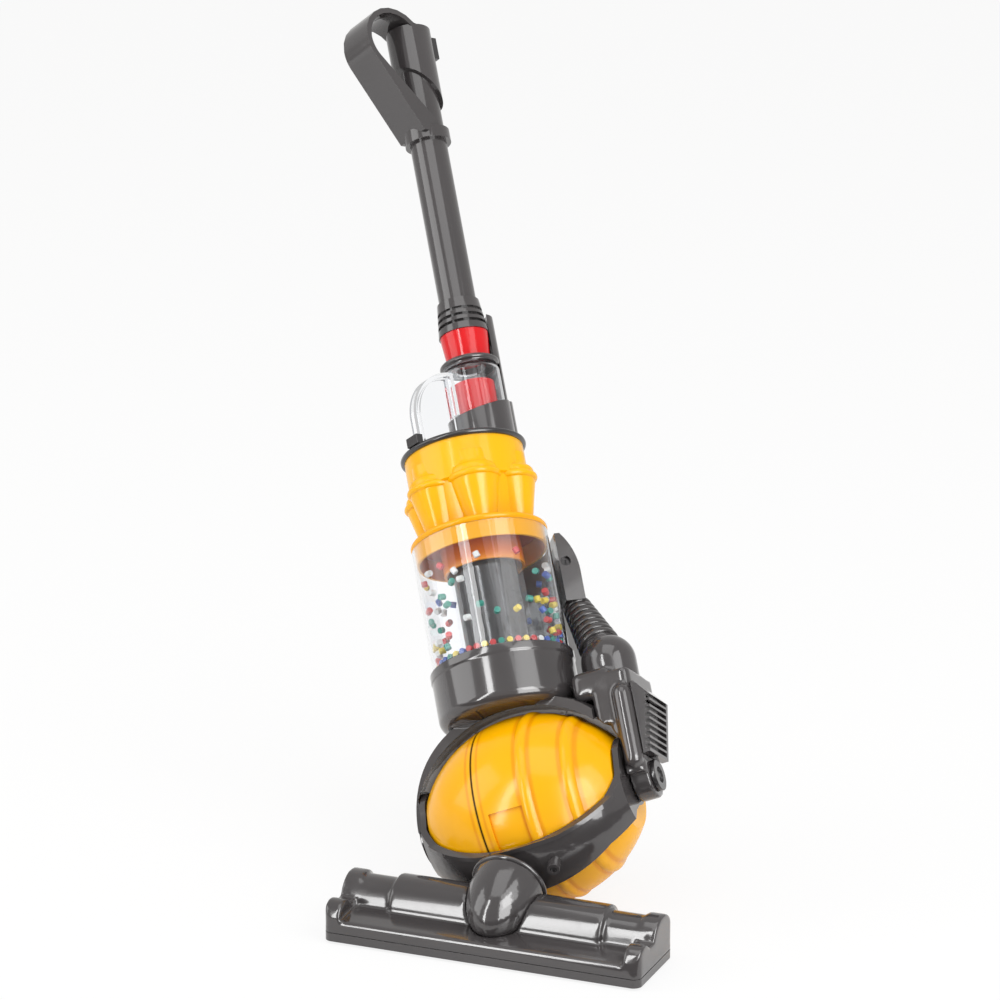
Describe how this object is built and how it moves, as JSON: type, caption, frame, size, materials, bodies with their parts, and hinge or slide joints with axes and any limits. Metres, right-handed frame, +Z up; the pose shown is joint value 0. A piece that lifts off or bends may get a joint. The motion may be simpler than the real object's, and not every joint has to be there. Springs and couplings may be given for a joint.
{
  "type": "toy vacuum cleaner",
  "caption": "Toy upright vacuum cleaner on a rolling ball, with a swivelling floor head, clear bead bin, cyclone top, ribbed side hose and a wand ending in a loop handle.",
  "frame": {"origin": "on the floor under the centre of the head's outline", "axes": "+X along the head to the side with the hose, +Y to the back where the body stands, +Z up"},
  "size_m": [0.3789, 0.4448, 0.5521],
  "materials": {
    "grey_plastic": "glossy",
    "dark_plastic": "satin",
    "yellow_plastic": "glossy",
    "red_plastic": "glossy",
    "clear_plastic": "clear glossy",
    "steel": "brushed",
    "cell_case": "satin",
    "white_plastic": "matte",
    "bead_red": "satin",
    "bead_blue": "satin",
    "bead_teal": "satin",
    "bead_yellow": "satin",
    "bead_white": "satin"
  },
  "bodies": {
    "main_body": {"ball_axle": "steel", "hub_caps": "dark_plastic", "saddle": "dark_plastic", "left_arm": "grey_plastic", "right_housing": "grey_plastic", "vent_box": "grey_plastic", "filter_pad": "white_plastic", "hose_elbow": "grey_plastic", "ribbed_hose": "dark_plastic", "hose_connector": "grey_plastic", "connector_screw": "steel", "rear_box": "dark_plastic", "battery_cells": "cell_case", "battery_door": "dark_plastic", "door_screws": "steel", "base_cup": "grey_plastic", "motor": "steel", "bin_floor": "grey_plastic", "clear_bin": "clear_plastic", "shroud": "grey_plastic", "beads_red": "bead_red", "beads_blue": "bead_blue", "beads_teal": "bead_teal", "beads_yellow": "bead_yellow", "beads_white": "bead_white", "flange_skirt": "yellow_plastic", "cyclone_pack": "yellow_plastic", "lid_ring": "dark_plastic", "lid_catch": "dark_plastic", "slanted_collar": "grey_plastic", "clear_canister": "clear_plastic", "canister_ring": "grey_plastic", "red_core": "red_plastic", "red_cone": "red_plastic", "carry_grip": "clear_plastic", "louvre_collar": "grey_plastic", "spine": "grey_plastic", "wand_tube": "grey_plastic", "handle": "grey_plastic"},
    "ball": {"ball_left_cap": "yellow_plastic", "ball_centre": "yellow_plastic", "ball_right": "yellow_plastic"},
    "yoke": {"yoke_cradle": "grey_plastic", "yoke_neck": "grey_plastic", "yoke_peg": "grey_plastic"},
    "head": {"head_cover": "grey_plastic", "head_sole": "grey_plastic", "sole_screws": "steel", "brush_strip": "dark_plastic", "swivel_dome": "grey_plastic", "dome_rim": "grey_plastic"},
    "front_roller_pair": {"front_rollers": "dark_plastic"},
    "rear_roller_pair": {"rear_rollers": "dark_plastic"},
    "fan": {"impeller": "white_plastic"},
    "drawer": {"debris_drawer": "yellow_plastic"},
    "button": {"handle_button": "dark_plastic"}
  },
  "joints": [
    {"name": "ball_roll", "type": "hinge", "parent": "main_body", "child": "ball", "pos_m": [-0.0082, 0.0908, 0.06632], "axis": [0.9217, 0.1526, 0.3567], "continuous": true},
    {"name": "body_recline", "type": "hinge", "parent": "main_body", "child": "yoke", "pos_m": [-0.0082, 0.0908, 0.06632], "axis": [0.9217, 0.1526, 0.3567], "range_deg": [-32, 20]},
    {"name": "head_swivel", "type": "hinge", "parent": "yoke", "child": "head", "pos_m": [0, 0.0205, 0.037], "axis": [0, 0.9291, 0.3698], "range_deg": [-15, 25]},
    {"name": "front_roll", "type": "hinge", "parent": "head", "child": "front_roller_pair", "pos_m": [0, -0.021, 0.0055], "axis": [1, 0, 0], "continuous": true},
    {"name": "rear_roll", "type": "hinge", "parent": "head", "child": "rear_roller_pair", "pos_m": [0, 0.021, 0.0055], "axis": [1, 0, 0], "continuous": true},
    {"name": "fan_spin", "type": "hinge", "parent": "main_body", "child": "fan", "pos_m": [-0.04862, 0.13398, 0.13827], "axis": [-0.3843, 0.4855, 0.7853], "continuous": true},
    {"name": "drawer_slide", "type": "slide", "parent": "main_body", "child": "drawer", "axis": [0.0534, 0.8608, -0.5061], "range_m": [0, 0.018]},
    {"name": "button_press", "type": "slide", "parent": "main_body", "child": "button", "axis": [-0.507, -0.8218, 0.2599], "range_m": [0, 0.0025], "stiffness_N_per_m": 200}
  ]
}
